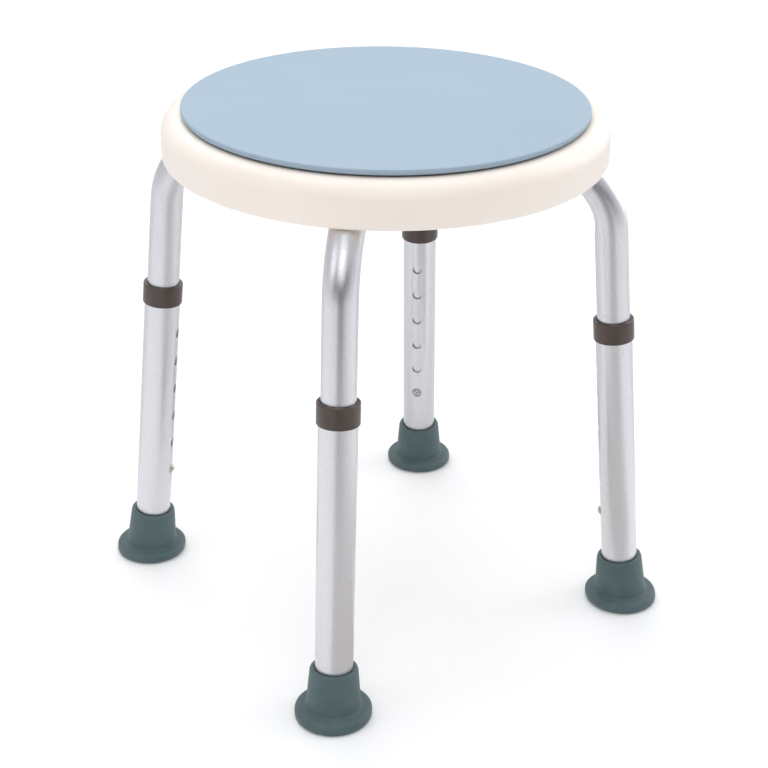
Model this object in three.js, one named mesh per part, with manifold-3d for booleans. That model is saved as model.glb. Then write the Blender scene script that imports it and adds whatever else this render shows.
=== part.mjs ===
// A round shower stool: a disc that turns on a moulded seat, on four telescopic legs.
// Two bent tubes cross under the seat. Each tube end slides in a lower leg, and a spring
// button in the tube locks in one of the leg's holes.
// Millimetres, +Z up. The origin is on the floor, under the middle of the seat.

import * as THREE from "three";
import { mergeVertices } from "three/addons/utils/BufferGeometryUtils.js";
import Module from "manifold-3d";

const wasm = await Module();
wasm.setup();

// Overall sizes, with the legs at their lowest setting
const seatHeight = 405; // floor to the top of the disc
const seatDiameter = 330;
const legSplay = THREE.MathUtils.degToRad(5.1); // each leg leans out from the vertical
const legOverhang = 5.2; // a leg's centre line stands this far outside the seat where its bend starts

// Clearances
const fitGap = 0.3; // between pieces that touch or nest
const slideGap = 0.3; // between a frame tube and the leg that slides on it

// Turning disc
const shoulderWidth = 15; // ring of the seat left bare around the disc
const discPlate = 3; // thickness inside the rim
const discRimHeight = 4.5;
const discRimWidth = 5;
const discEdgeRadius = 1.4;
const shadowGap = 1.2; // under the disc's rim
const glideInset = 36; // from the disc's edge to the middle of its glide ring
const glideWidth = 8;
const glideThickness = 1.9;
const discRunnerWidth = 5; // rib of the disc that runs on the glide ring
const glideGroove = 0.8; // how deep the seat holds the glide ring
const spigotRadius = 8;
const pivotScrewRadius = 2.5;
const pivotWasherRadius = 12;

// Seat
const seatDepth = 32.6; // rim to top face
const seatWall = 4.5;
const seatPlate = 3.2; // the top, under the disc
const recessDepth = 2.1; // from the top face down to the plate
const recessLedge = 3.5; // top face that stays under the disc's rim
const shoulderHeight = 13;
const rimRadius = 4; // bottom edge
const cornerRadius = 10; // inside, between the plate and the wall
const ribThickness = 2.4;
const ribDepth = 12;
const ribCount = 8;
const innerRibRadius = 52;
const outerRibInset = 42; // from the seat's edge to the outer ring rib

// Frame tubes
const tubeDiameter = 25;
const tubeWall = 1.2;
const bendRadius = 60; // at the centre line
const bossHeight = 9; // seat plate to the top of a frame tube
const pressedHeight = 11.2; // each tube where it is pressed flat to cross the other
const pressedSpill = 1.6; // pressed length past the other tube's edge
const pressedTaper = 24; // from flat back to round
const bendDent = 1.4; // how far the inside of a bend is flattened
const bossLength = 30;
const bossWall = 3.5; // beside the tube
const bossGrip = 2; // from the tube's middle up to the bottom of the boss
const screwInset = 24; // from the bend to the seat screw
const screwRadius = 2.1;
const boltRadius = 3;
const frameWasherRadius = 9;
const nutRadius = 5.8; // to its corners
const nutHeight = 5.6;
const boltEnd = 1.5; // bolt past its nut
const headProportion = 1.9; // of a screw head to its shank

// Telescopic legs, measured along the leg from the floor
const legTubeLength = 237;
const holeDiameter = 8;
const holePitch = 25;
const holeCount = 6;
const lowestHole = 80.5;
const tubeBelowButton = 22; // frame tube left under its button
const collarLength = 16.3;
const collarWall = 1.2;
const collarLip = 1.8; // over the end of the leg tube
const collarRound = 0.9; // top edge
const buttonDiameter = 7.4;
const buttonReach = 2.2; // past the outside of the leg tube
const buttonDome = 2.8;
const buttonFlange = 1.1; // past the button's side
const buttonFlangeThickness = 0.9;
const buttonSeat = 2.4; // from the inside of the frame tube to the back of the flange
const clipLength = 34;
const clipThickness = 0.6;
const clipWidth = 9;
const clipBend = 3; // radius at the top of the V

// Rubber feet
const flangeRadius = 28.5;
const flangeHeight = 8.5;
const flangeRound = 3; // edge radius of the flange
const footNeck = 20.2; // radius just above the flange
const footRimHeight = 40;
const footRimWall = 3.3;
const footSole = 7; // rubber under the leg
const footWasherHole = 5;
const washerThickness = 1.2;

// Facets around each kind of round piece
const seatFacets = 48;
const tubeFacets = 20;
const smallFacets = 12;

// Radii and heights that follow from the sizes above
const seatRadius = seatDiameter / 2;
const discRadius = seatRadius - shoulderWidth;
const discUnder = seatHeight - discPlate;
const discRimBottom = seatHeight - discRimHeight;
const seatTop = discRimBottom - shadowGap;
const seatFloor = seatTop - recessDepth;
const seatPlateUnder = seatFloor - seatPlate;
const seatRim = seatTop - seatDepth;
const recessRadius = discRadius - recessLedge;
const glideRadius = discRadius - glideInset;
const glideBottom = seatFloor - glideGroove + fitGap;
const glideTop = glideBottom + glideThickness;
const tubeRadius = tubeDiameter / 2;
const armHeight = seatPlateUnder - bossHeight - tubeRadius;
const legInnerRadius = tubeRadius + slideGap;
const legRadius = legInnerRadius + tubeWall;
const bendHeight = armHeight - bendRadius;
const bendStart = (bendHeight + bendRadius * Math.sin(legSplay)) / Math.cos(legSplay);
const legTopRadius = seatRadius + legOverhang;
const footRadius = legTopRadius + bendStart * Math.sin(legSplay);
const bendCentre = legTopRadius - bendRadius * Math.cos(legSplay);
const screwPlace = bendCentre - screwInset;
const washerBottom = footSole + fitGap;
const legTubeBottom = washerBottom + washerThickness + fitGap;
const legTubeTop = legTubeBottom + legTubeLength;
const collarTop = legTubeTop + fitGap + collarLip;

// Flattened section of a frame tube: its outline keeps the length of the round one
const pressedHalf = pressedHeight / 2;
const pressedStraight = ((tubeRadius - pressedHalf) * Math.PI) / 2;
const pressedReach = pressedStraight + pressedHalf + pressedSpill;

const finishes = {
  disc: { color: 0xb5cbd9, roughness: 0.62, metalness: 0 },
  seat: { color: 0xf5f0ea, roughness: 0.38, metalness: 0 },
  aluminium: { color: 0xd5d5da, roughness: 0.34, metalness: 1 },
  steel: { color: 0xb9bbbd, roughness: 0.25, metalness: 1 },
  collar: { color: 0x51453f, roughness: 0.42, metalness: 0 },
  rubber: { color: 0x53696c, roughness: 0.72, metalness: 0 },
  acetal: { color: 0xe9e8e2, roughness: 0.35, metalness: 0 },
};

const legs = [
  { name: "front_left", azimuth: -135 },
  { name: "front_right", azimuth: -45 },
  { name: "rear_right", azimuth: 45 },
  { name: "rear_left", azimuth: 135 },
];

// ---- Helpers ----

// A named mesh with its own material.
function piece(name, geometry, finish) {
  const mesh = new THREE.Mesh(geometry, new THREE.MeshStandardMaterial(finishes[finish]));
  mesh.name = name;
  return mesh;
}

// The solid inside a closed geometry, ready to be joined or cut.
function solidOf(geometry) {
  const bare = geometry.index ? geometry.toNonIndexed() : geometry.clone();
  bare.deleteAttribute("normal");
  bare.deleteAttribute("uv");
  const merged = mergeVertices(bare, 1e-3);
  const mesh = new wasm.Mesh({
    numProp: 3,
    vertProperties: merged.attributes.position.array,
    triVerts: new Uint32Array(merged.index.array),
  });
  return new wasm.Manifold(mesh);
}

// The geometry of a solid, flat shaded.
function geometryOf(solid) {
  const mesh = solid.getMesh();
  const geometry = new THREE.BufferGeometry();
  geometry.setAttribute("position", new THREE.BufferAttribute(mesh.vertProperties, 3));
  geometry.setIndex(new THREE.BufferAttribute(mesh.triVerts, 1));
  const flat = geometry.toNonIndexed();
  flat.computeVertexNormals();
  return flat;
}

// An outline of [radius, height] pairs turned about +Z. It runs outwards below and back above.
function turned(outline, facets) {
  const points = outline.map(([radius, height]) => new THREE.Vector2(radius, height));
  return new THREE.LatheGeometry(points, facets).rotateX(Math.PI / 2);
}

// A turned ring with a plain rectangular section.
function washer(innerRadius, outerRadius, bottom, top, facets) {
  const outline = [
    [innerRadius, bottom],
    [outerRadius, bottom],
    [outerRadius, top],
    [innerRadius, top],
    [innerRadius, bottom],
  ];
  return turned(outline, facets);
}

// A plain rod about +Z.
function rod(radius, bottom, top, facets = smallFacets) {
  const outline = [
    [0, bottom],
    [radius, bottom],
    [radius, top],
    [0, top],
  ];
  return turned(outline, facets);
}

// Points of an elliptic arc about a centre, as [x, y] pairs. Angles are in degrees.
function arc(centreX, centreY, radiusX, radiusY, from, to, steps) {
  return Array.from({ length: steps + 1 }, (_, i) => {
    const angle = THREE.MathUtils.degToRad(from + ((to - from) * i) / steps);
    return [centreX + radiusX * Math.cos(angle), centreY + radiusY * Math.sin(angle)];
  });
}

// Skins a run of rings that each hold the same number of points.
// Where the run is a loop its last ring joins the first, and otherwise both ends are capped.
function skinned(rings, loop) {
  const count = rings[0].length;
  const positions = rings.flat();
  const index = [];
  const spans = loop ? rings.length : rings.length - 1;
  for (let i = 0; i < spans; i++) {
    const here = i * count;
    const there = ((i + 1) % rings.length) * count;
    for (let j = 0; j < count; j++) {
      const next = (j + 1) % count;
      index.push(here + j, here + next, there + next);
      index.push(here + j, there + next, there + j);
    }
  }
  if (!loop) {
    const last = (rings.length - 1) * count;
    for (let j = 1; j < count - 1; j++) {
      index.push(0, j + 1, j);
      index.push(last, last + j, last + j + 1);
    }
  }
  const geometry = new THREE.BufferGeometry().setFromPoints(positions);
  geometry.setIndex(index);
  geometry.computeVertexNormals();
  return geometry;
}

// ---- Frame tubes ----

// Stations along one arm of a frame tube, from its lower end up over the bend to the middle of
// the stool. Each has its place, the direction that faces out of the bend, and how far the
// section is dented or pressed flat, from 0 to 1.
function armStations() {
  const lean = new THREE.Vector3(Math.cos(legSplay), 0, Math.sin(legSplay));
  const stations = [{ place: onLeg(lowestHole - tubeBelowButton), out: lean, dent: 0, press: 0 }];
  const bendSteps = 7;
  for (let i = 0; i <= bendSteps; i++) {
    const angle = THREE.MathUtils.lerp(legSplay, Math.PI / 2, i / bendSteps);
    const out = new THREE.Vector3(Math.cos(angle), 0, Math.sin(angle));
    const place = out.clone().multiplyScalar(bendRadius);
    place.add(new THREE.Vector3(bendCentre, 0, bendHeight));
    const dent = Math.sin((Math.PI * i) / bendSteps) ** 2;
    stations.push({ place, out, dent, press: 0 });
  }
  const taperSteps = 3;
  for (let i = 0; i <= taperSteps; i++) {
    const distance = pressedReach + pressedTaper * (1 - i / taperSteps);
    const press = THREE.MathUtils.smoothstep(i, 0, taperSteps);
    const place = new THREE.Vector3(distance, 0, armHeight);
    stations.push({ place, out: new THREE.Vector3(0, 0, 1), dent: 0, press });
  }
  return stations;
}

// The point of a leg's centre line at a distance along it, in the plane of the leg.
function onLeg(distance) {
  const x = footRadius - distance * Math.sin(legSplay);
  return new THREE.Vector3(x, 0, distance * Math.cos(legSplay));
}

// One section of a frame tube: a circle that the press turns into a flat oval, above or below
// the middle, and that a bend dents on its inside.
function tubeRing(station, radius, level) {
  const inset = tubeRadius - radius;
  const halfHeight = THREE.MathUtils.lerp(radius, pressedHalf - inset, station.press);
  const straight = pressedStraight * station.press;
  const shift = level * (fitGap + pressedHalf) * station.press;
  const deepest = radius - bendDent * station.dent;
  return Array.from({ length: tubeFacets }, (_, i) => {
    const angle = (-(i + 0.5) / tubeFacets) * 2 * Math.PI;
    const across = halfHeight * Math.cos(angle) + straight * Math.sign(Math.cos(angle));
    const up = Math.max(halfHeight * Math.sin(angle), -deepest) + shift;
    return station.place.clone().addScaledVector(station.out, up).add(new THREE.Vector3(0, across, 0));
  });
}

// A station moved to the opposite arm.
function mirrored(station) {
  const flip = new THREE.Vector3(-1, 1, 1);
  const place = station.place.clone().multiply(flip);
  const out = station.out.clone().multiply(flip);
  return { ...station, place, out };
}

// A bent tube along X, from one lower end to the other, pressed to pass below (-1) or above (1)
// the middle.
function bentTube(level) {
  const near = armStations();
  const far = near.map(mirrored).reverse();
  const stations = [...near, ...far];
  const outside = stations.map((station) => tubeRing(station, tubeRadius, level));
  const inside = stations.map((station) => tubeRing(station, tubeRadius - tubeWall, level)).reverse();
  return skinned([...outside, ...inside], true);
}

// The room that a bent tube takes, with a margin all round and no hollow.
function tubeRoom(margin, level) {
  const near = armStations().map((station) => ({ ...station, dent: 0 }));
  const stations = [...near, ...near.map(mirrored).reverse()];
  return skinned(stations.map((station) => tubeRing(station, tubeRadius + margin, level)), false);
}

// A rod through the leg's inner wall, pointing at the middle of the stool, at a height on the leg.
function wallDrill(radius, height) {
  const drill = rod(radius, legRadius / 2, legRadius * 1.5);
  return drill.rotateY(-Math.PI / 2).translate(0, 0, height);
}

// Moves a geometry from a leg's own frame to the plane of its tube.
function toLegPlane(geometry) {
  return geometry.rotateY(-legSplay).translate(footRadius, 0, 0);
}

function frameTube(level) {
  let solid = solidOf(bentTube(level));
  const buttonHole = buttonDiameter / 2 + fitGap;
  for (const side of [0, Math.PI]) {
    const button = toLegPlane(wallDrill(buttonHole, lowestHole)).rotateZ(side);
    const screw = rod(screwRadius + fitGap, armHeight - tubeDiameter, armHeight + tubeDiameter);
    solid = solid.subtract(solidOf(button));
    solid = solid.subtract(solidOf(screw.translate(screwPlace, 0, 0).rotateZ(side)));
  }
  const bolt = rod(boltRadius + fitGap, armHeight - tubeDiameter, armHeight + tubeDiameter);
  return geometryOf(solid.subtract(solidOf(bolt)));
}

// ---- Seat ----

function seatOutline() {
  const spigotHole = spigotRadius + 2 * fitGap;
  const glideInner = glideRadius - glideWidth / 2 - fitGap;
  const glideOuter = glideRadius + glideWidth / 2 + fitGap;
  const wallInside = seatRadius - seatWall;
  const cornerX = wallInside - cornerRadius;
  const shoulderX = seatRadius - shoulderWidth + 1;
  return [
    [wallInside, seatRim],
    ...arc(seatRadius - rimRadius, seatRim + rimRadius, rimRadius, rimRadius, -90, 0, 3),
    ...arc(shoulderX, seatTop - shoulderHeight, seatRadius - shoulderX, shoulderHeight, 0, 90, 6),
    [recessRadius, seatTop],
    [recessRadius, seatFloor],
    [glideOuter, seatFloor],
    [glideOuter, seatFloor - glideGroove],
    [glideInner, seatFloor - glideGroove],
    [glideInner, seatFloor],
    [spigotHole, seatFloor],
    [spigotHole, seatPlateUnder],
    ...arc(cornerX, seatPlateUnder - cornerRadius, cornerRadius, cornerRadius, 90, 0, 3),
    [wallInside, seatRim],
  ];
}

// Ribs on the underside of the seat plate: two rings, and spokes between them and the wall.
function seatRibs() {
  const sunk = seatPlate / 2;
  const bottom = seatPlateUnder - ribDepth;
  const top = seatPlateUnder + sunk;
  const half = ribThickness / 2;
  const ring = (radius) => solidOf(washer(radius - half, radius + half, bottom, top, seatFacets));
  let ribs = ring(innerRibRadius).add(ring(seatRadius - outerRibInset));
  const spokeEnd = seatRadius - seatWall / 2 - rimRadius;
  const spokeLength = spokeEnd - innerRibRadius;
  for (let i = 0; i < ribCount; i++) {
    const spoke = new THREE.BoxGeometry(spokeLength, ribThickness, ribDepth + sunk);
    spoke.translate(innerRibRadius + spokeLength / 2, 0, (bottom + top) / 2);
    spoke.rotateZ(((i + 0.5) / ribCount) * 2 * Math.PI);
    ribs = ribs.add(solidOf(spoke));
  }
  return ribs;
}

// A block on the underside of the plate that saddles an arm and takes its screw.
function screwBoss(azimuth) {
  const top = seatPlateUnder + seatPlate / 2;
  const bottom = armHeight + bossGrip;
  const width = 2 * (tubeRadius + fitGap + bossWall);
  const block = new THREE.BoxGeometry(bossLength, width, top - bottom);
  return block.translate(screwPlace, 0, (top + bottom) / 2).rotateZ(azimuth);
}

function seatBase() {
  let solid = solidOf(turned(seatOutline(), seatFacets)).add(seatRibs());
  const azimuths = legs.map((leg) => THREE.MathUtils.degToRad(leg.azimuth));
  azimuths.forEach((azimuth) => {
    solid = solid.add(solidOf(screwBoss(azimuth)));
  });
  for (const azimuth of azimuths.slice(0, 2)) {
    for (const level of [-1, 1]) {
      solid = solid.subtract(solidOf(tubeRoom(fitGap, level).rotateZ(azimuth)));
    }
  }
  azimuths.forEach((azimuth) => {
    const pilot = rod(screwRadius + fitGap, armHeight, seatPlateUnder - fitGap);
    solid = solid.subtract(solidOf(pilot.translate(screwPlace, 0, 0).rotateZ(azimuth)));
  });
  return piece("seat_base", geometryOf(solid), "seat");
}

// ---- Turning disc and its pivot ----

const spigotBottom = seatPlateUnder - fitGap;
const pivotWasherTop = spigotBottom - fitGap;
const pivotHeadTop = pivotWasherTop - washerThickness - fitGap;
const pivotHoleTop = discUnder + discPlate / 4;

function swivelDisc() {
  const holeRadius = pivotScrewRadius + fitGap;
  const ribInner = glideRadius - discRunnerWidth / 2;
  const ribOuter = glideRadius + discRunnerWidth / 2;
  const ribBottom = glideTop + fitGap;
  const rimInner = discRadius - discRimWidth;
  const edgeX = discRadius - discEdgeRadius;
  const outline = [
    [0, pivotHoleTop],
    [holeRadius, pivotHoleTop],
    [holeRadius, spigotBottom],
    [spigotRadius, spigotBottom],
    [spigotRadius, discUnder],
    [ribInner, discUnder],
    [ribInner, ribBottom],
    [ribOuter, ribBottom],
    [ribOuter, discUnder],
    [rimInner, discUnder],
    [rimInner, discRimBottom],
    [discRadius - discEdgeRadius / 2, discRimBottom],
    [discRadius, discRimBottom + discEdgeRadius / 2],
    ...arc(edgeX, seatHeight - discEdgeRadius, discEdgeRadius, discEdgeRadius, 0, 90, 3),
    [0, seatHeight],
  ];
  return piece("swivel_disc", turned(outline, seatFacets), "disc");
}

function glideRing() {
  const half = glideWidth / 2;
  const ring = washer(glideRadius - half, glideRadius + half, glideBottom, glideTop, seatFacets);
  return piece("glide_ring", ring, "acetal");
}

// A screw or bolt about +Z with a domed head below its shank.
function screwGeometry(shank, length) {
  const headRadius = shank * headProportion;
  const headHeight = shank;
  const outline = [
    [0, -headHeight],
    [headRadius * 0.6, -headHeight],
    [headRadius, -headHeight * 0.4],
    [headRadius, 0],
    [shank, 0],
    [shank, length - shank / 2],
    [shank / 2, length],
    [0, length],
  ];
  return turned(outline, smallFacets);
}

function pivot() {
  const length = pivotHoleTop - fitGap - pivotHeadTop;
  const screw = screwGeometry(pivotScrewRadius, length).translate(0, 0, pivotHeadTop);
  const inner = pivotScrewRadius + fitGap;
  const bottom = pivotWasherTop - washerThickness;
  const plate = washer(inner, pivotWasherRadius, bottom, pivotWasherTop, smallFacets);
  return [piece("pivot_screw", screw, "steel"), piece("pivot_washer", plate, "steel")];
}

// ---- Fasteners of the frame ----

function seatScrew(leg) {
  const headTop = armHeight - tubeRadius - fitGap;
  const length = seatPlateUnder - 2 * fitGap - headTop;
  const screw = screwGeometry(screwRadius, length).translate(screwPlace, 0, headTop);
  screw.rotateZ(THREE.MathUtils.degToRad(leg.azimuth));
  return piece("seat_screw_" + leg.name, screw, "steel");
}

// A bolt through both pressed tubes, with its head on top and a washer and nut underneath.
function frameBolt() {
  const pressedEdge = fitGap + pressedHeight;
  const headBottom = armHeight + pressedEdge + fitGap;
  const washerTop = armHeight - pressedEdge - fitGap;
  const nutTop = washerTop - washerThickness - fitGap;
  const length = headBottom - nutTop + nutHeight + boltEnd;
  const bolt = screwGeometry(boltRadius, length).rotateX(Math.PI).translate(0, 0, headBottom);
  const hole = boltRadius + fitGap;
  const washerBase = washerTop - washerThickness;
  const plate = washer(hole, frameWasherRadius, washerBase, washerTop, smallFacets);
  const corners = arc(0, 0, nutRadius, nutRadius, 0, 300, 5);
  const hexagon = new THREE.Shape(corners.map(([x, y]) => new THREE.Vector2(x, y)));
  hexagon.holes.push(new THREE.Path().absarc(0, 0, hole, 0, 2 * Math.PI, true));
  const extrusion = { depth: nutHeight, bevelEnabled: false, curveSegments: 8 };
  const nut = new THREE.ExtrudeGeometry(hexagon, extrusion).translate(0, 0, nutTop - nutHeight);
  return [
    piece("frame_bolt", bolt, "steel"),
    piece("frame_washer", plate, "steel"),
    piece("frame_nut", nut, "steel"),
  ];
}

// ---- Lower legs, in a frame that stands on the floor with +Z up the leg and +X outwards ----

function legTube(name) {
  let solid = solidOf(washer(legInnerRadius, legRadius, legTubeBottom, legTubeTop, tubeFacets));
  for (let i = 0; i < holeCount; i++) {
    solid = solid.subtract(solidOf(wallDrill(holeDiameter / 2, lowestHole + i * holePitch)));
  }
  return piece("leg_tube_" + name, geometryOf(solid), "aluminium");
}

// A sleeve over the top of the leg tube, with a lip that covers the tube's cut end.
function collar(name) {
  const inner = legRadius + fitGap;
  const outer = inner + collarWall;
  const throat = legInnerRadius;
  const bottom = collarTop - collarLength;
  const outline = [
    [inner, bottom],
    [outer - collarRound / 3, bottom],
    [outer, bottom + collarRound / 3],
    ...arc(outer - collarRound, collarTop - collarRound, collarRound, collarRound, 0, 90, 3),
    [throat, collarTop],
    [throat, legTubeTop + fitGap],
    [inner, legTubeTop + fitGap],
    [inner, bottom],
  ];
  return piece("collar_" + name, turned(outline, tubeFacets), "collar");
}

function footOutline() {
  const socket = legRadius + fitGap;
  const rim = socket + footRimWall;
  const edge = flangeRadius - flangeRound;
  return [
    [0, 0],
    [edge, 0],
    ...arc(edge, flangeRound, flangeRound, flangeRound, -60, 0, 2),
    ...arc(edge, flangeHeight - flangeRound, flangeRound, flangeRound, 0, 90, 3),
    [footNeck + 2, flangeHeight + 0.4],
    [footNeck, flangeHeight + 2.5],
    [rim, footRimHeight - 1],
    [rim - 1, footRimHeight],
    [socket, footRimHeight],
    [socket, footSole],
    [0, footSole],
  ];
}

// A rubber foot. Its flange lies flat on the floor and its socket leans with the leg.
function foot(name) {
  const geometry = turned(footOutline(), tubeFacets);
  const position = geometry.attributes.position;
  const level = new THREE.Matrix4().makeRotationY(legSplay);
  for (let i = 0; i < position.count; i++) {
    const leaning = new THREE.Vector3().fromBufferAttribute(position, i);
    const flat = new THREE.Vector3(leaning.x, leaning.y, 0).applyMatrix4(level);
    flat.addScaledVector(new THREE.Vector3(0, 0, 1), leaning.z / Math.cos(legSplay));
    const follow = THREE.MathUtils.smoothstep(leaning.z, flangeHeight / 2, flangeHeight * 2);
    const isSocket = Math.hypot(leaning.x, leaning.y) < legRadius + 2 * fitGap && leaning.z > 0;
    const place = isSocket ? leaning : flat.lerp(leaning, follow);
    position.setXYZ(i, place.x, place.y, place.z);
  }
  geometry.computeVertexNormals();
  return piece("foot_" + name, geometry, "rubber");
}

// A steel washer inside the foot, which keeps the tube from cutting through the rubber.
function footWasher(name) {
  const outer = legRadius - fitGap;
  const top = washerBottom + washerThickness;
  const ring = washer(footWasherHole, outer, washerBottom, top, smallFacets);
  return piece("foot_washer_" + name, ring, "steel");
}

// The button stands through both tubes, and its flange stays inside the frame tube.
const buttonRadius = buttonDiameter / 2;
const buttonTip = legRadius + buttonReach;
const buttonFlangeRadius = buttonRadius + buttonFlange;
const buttonBack = tubeRadius - tubeWall - buttonSeat;

function snapButton(name) {
  const flange = buttonBack + buttonFlangeThickness;
  const outline = [
    [0, buttonBack],
    [buttonFlangeRadius, buttonBack],
    [buttonFlangeRadius, flange],
    [buttonRadius, flange],
    ...arc(0, buttonTip - buttonDome, buttonRadius, buttonDome, 0, 90, 4),
  ];
  const button = turned(outline, smallFacets).rotateY(-Math.PI / 2).translate(0, 0, lowestHole);
  return piece("snap_button_" + name, button, "steel");
}

// A V of spring strip inside the frame tube. One arm carries the button and the other one
// bears on the far side of the tube.
function springClip(name) {
  const half = clipThickness / 2;
  const nearX = -(buttonBack - fitGap - half);
  const farX = tubeRadius - tubeWall - 3 * fitGap - half;
  const top = lowestHole + clipLength - clipBend;
  const route = [
    [nearX, lowestHole - buttonFlangeRadius],
    [nearX, lowestHole + buttonFlangeRadius],
    ...arc(0, top, clipBend, clipBend, 170, 10, 6),
    [farX, lowestHole + buttonFlangeRadius],
  ];
  const points = route.map(([x, z]) => new THREE.Vector3(x, 0, z));
  const rings = points.map((point, i) => {
    const before = points[Math.max(i - 1, 0)];
    const after = points[Math.min(i + 1, points.length - 1)];
    const along = after.clone().sub(before).normalize();
    const across = new THREE.Vector3(along.z, 0, -along.x).multiplyScalar(half);
    const side = new THREE.Vector3(0, clipWidth / 2, 0);
    return [
      point.clone().add(across).add(side),
      point.clone().sub(across).add(side),
      point.clone().sub(across).sub(side),
      point.clone().add(across).sub(side),
    ];
  });
  return piece("spring_clip_" + name, skinned(rings, false), "steel");
}

function lowerLeg(leg) {
  const upright = new THREE.Group();
  upright.rotation.y = -legSplay;
  upright.position.x = footRadius;
  upright.add(legTube(leg.name), collar(leg.name), foot(leg.name), footWasher(leg.name));
  upright.add(snapButton(leg.name), springClip(leg.name));
  const turnedOut = new THREE.Group();
  turnedOut.rotation.z = THREE.MathUtils.degToRad(leg.azimuth);
  turnedOut.add(upright);
  return turnedOut;
}

// ---- The stool ----

const stool = new THREE.Group();
stool.add(swivelDisc(), glideRing(), ...pivot(), seatBase());

const tubes = new THREE.Group();
const lowerTube = piece("frame_tube_lower", frameTube(-1), "aluminium");
const upperTube = piece("frame_tube_upper", frameTube(1), "aluminium");
lowerTube.rotation.z = THREE.MathUtils.degToRad(legs[0].azimuth);
upperTube.rotation.z = THREE.MathUtils.degToRad(legs[1].azimuth);
tubes.add(lowerTube, upperTube, ...frameBolt(), ...legs.map(seatScrew));
stool.add(tubes, ...legs.map(lowerLeg));

export default stool;
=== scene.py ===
"""Visual model of a round shower stool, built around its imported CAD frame.

A matte plastic disc turns on a moulded seat. Two bent aluminium tubes cross under the seat,
and each of their ends slides in a lower leg with a row of holes, a collar and a rubber foot.
Sizes are in millimetres and angles in degrees until a mesh is made, in metres.
"""

import logging
import math
from collections.abc import Callable, Sequence
from dataclasses import dataclass, field
from enum import Enum
from typing import Any

import bmesh
import bpy
from mathutils import Matrix, Vector


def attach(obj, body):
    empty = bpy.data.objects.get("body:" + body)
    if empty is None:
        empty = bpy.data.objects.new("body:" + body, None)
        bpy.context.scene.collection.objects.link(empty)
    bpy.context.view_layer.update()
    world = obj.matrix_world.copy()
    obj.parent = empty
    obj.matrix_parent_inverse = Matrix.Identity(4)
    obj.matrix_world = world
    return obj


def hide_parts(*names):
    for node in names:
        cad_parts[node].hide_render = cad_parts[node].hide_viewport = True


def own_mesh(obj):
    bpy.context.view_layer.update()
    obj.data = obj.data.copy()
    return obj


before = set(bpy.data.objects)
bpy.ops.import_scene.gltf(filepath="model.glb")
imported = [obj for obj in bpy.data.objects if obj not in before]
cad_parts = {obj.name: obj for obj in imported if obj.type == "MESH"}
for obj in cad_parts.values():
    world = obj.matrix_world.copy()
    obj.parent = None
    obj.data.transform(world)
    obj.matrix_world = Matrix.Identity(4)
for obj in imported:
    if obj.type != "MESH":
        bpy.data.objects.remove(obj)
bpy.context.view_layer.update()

log = logging.getLogger("shower_stool")
MM = 0.001
NIL = 1e-6
CREASE = 32.0
TUBE_CREASE = 40.0
FOOT_CREASE = 50.0
Pair = tuple[float, float]
Colour = tuple[float, float, float, float]
Grid = dict[tuple[int, int], int]
Tree = bpy.types.NodeTree
Node = bpy.types.Node
Socket = bpy.types.NodeSocket


class Slot(Enum):
    """Material slots that each new piece is handed with; nothing reads them."""

    DISC = "disc"
    SEAT = "seat"
    TUBE = "tube"
    FASTENER = "fastener"
    SPRING = "spring"
    COLLAR = "collar"
    FOOT = "foot"
    GLIDE = "glide"


class Corner(Enum):
    """The four legs, each with the direction in which it stands."""

    FRONT_LEFT = ("front_left", -135.0)
    FRONT_RIGHT = ("front_right", -45.0)
    REAR_RIGHT = ("rear_right", 45.0)
    REAR_LEFT = ("rear_left", 135.0)

    @property
    def label(self) -> str:
        """The leg's name in the frame."""
        return self.value[0]

    @property
    def azimuth(self) -> float:
        """The leg's direction about +Z, in radians."""
        return math.radians(self.value[1])


class Level(Enum):
    """Which way a frame tube is pressed where the two cross."""

    LOWER = -1
    UPPER = 1


# ---- Colours, nodes and meshes ----


def linear(colour: str) -> Colour:
    """Turns an sRGB hex colour into linear light.

    Args:
        colour: Six hex digits after a hash sign.

    Returns:
        Red, green, blue and an alpha of 1.
    """
    parts = [int(colour[i : i + 2], 16) / 255 for i in (1, 3, 5)]
    low, scale, offset, power = 0.04045, 12.92, 0.055, 2.4
    red, green, blue = (
        p / scale if p <= low else ((p + offset) / (1 + offset)) ** power for p in parts
    )
    return red, green, blue, 1.0


def per_metre(size: float) -> float:
    """The texture scale at which one feature of a pattern spans a size in millimetres."""
    return 1 / (size * MM)


def add_node(
    tree: Tree, kind: str, inputs: dict[str | int, Any] | None = None, **settings: Any
) -> Node:
    """Adds a node with its settings and links.

    Args:
        tree: The node tree it goes into.
        kind: The node's type name.
        inputs: For each input's name or number, a value or the output socket it is linked to.
        settings: The node's own properties.

    Returns:
        The new node.
    """
    node = tree.nodes.new(kind)
    for name, value in settings.items():
        setattr(node, name, value)
    for key, value in (inputs or {}).items():
        if isinstance(value, Socket):
            tree.links.new(value, node.inputs[key])
        else:
            node.inputs[key].default_value = value
    return node


def arc(centre: Pair, radii: float | Pair, start: float, end: float, steps: int) -> list[Pair]:
    """Points of a circular or elliptic arc.

    Args:
        centre: Its centre.
        radii: One radius, or the radii along the two axes.
        start: First angle, in degrees.
        end: Last angle, in degrees.
        steps: Number of spans.

    Returns:
        The points, one more than the spans.
    """
    wide, high = radii if isinstance(radii, tuple) else (radii, radii)
    angles = [math.radians(start + (end - start) * i / steps) for i in range(steps + 1)]
    return [(centre[0] + wide * math.cos(a), centre[1] + high * math.sin(a)) for a in angles]


def smoothstep(value: float, low: float, high: float) -> float:
    """Goes smoothly from 0 at low to 1 at high."""
    share = min(max((value - low) / (high - low), 0.0), 1.0)
    return share * share * (3 - 2 * share)


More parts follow.
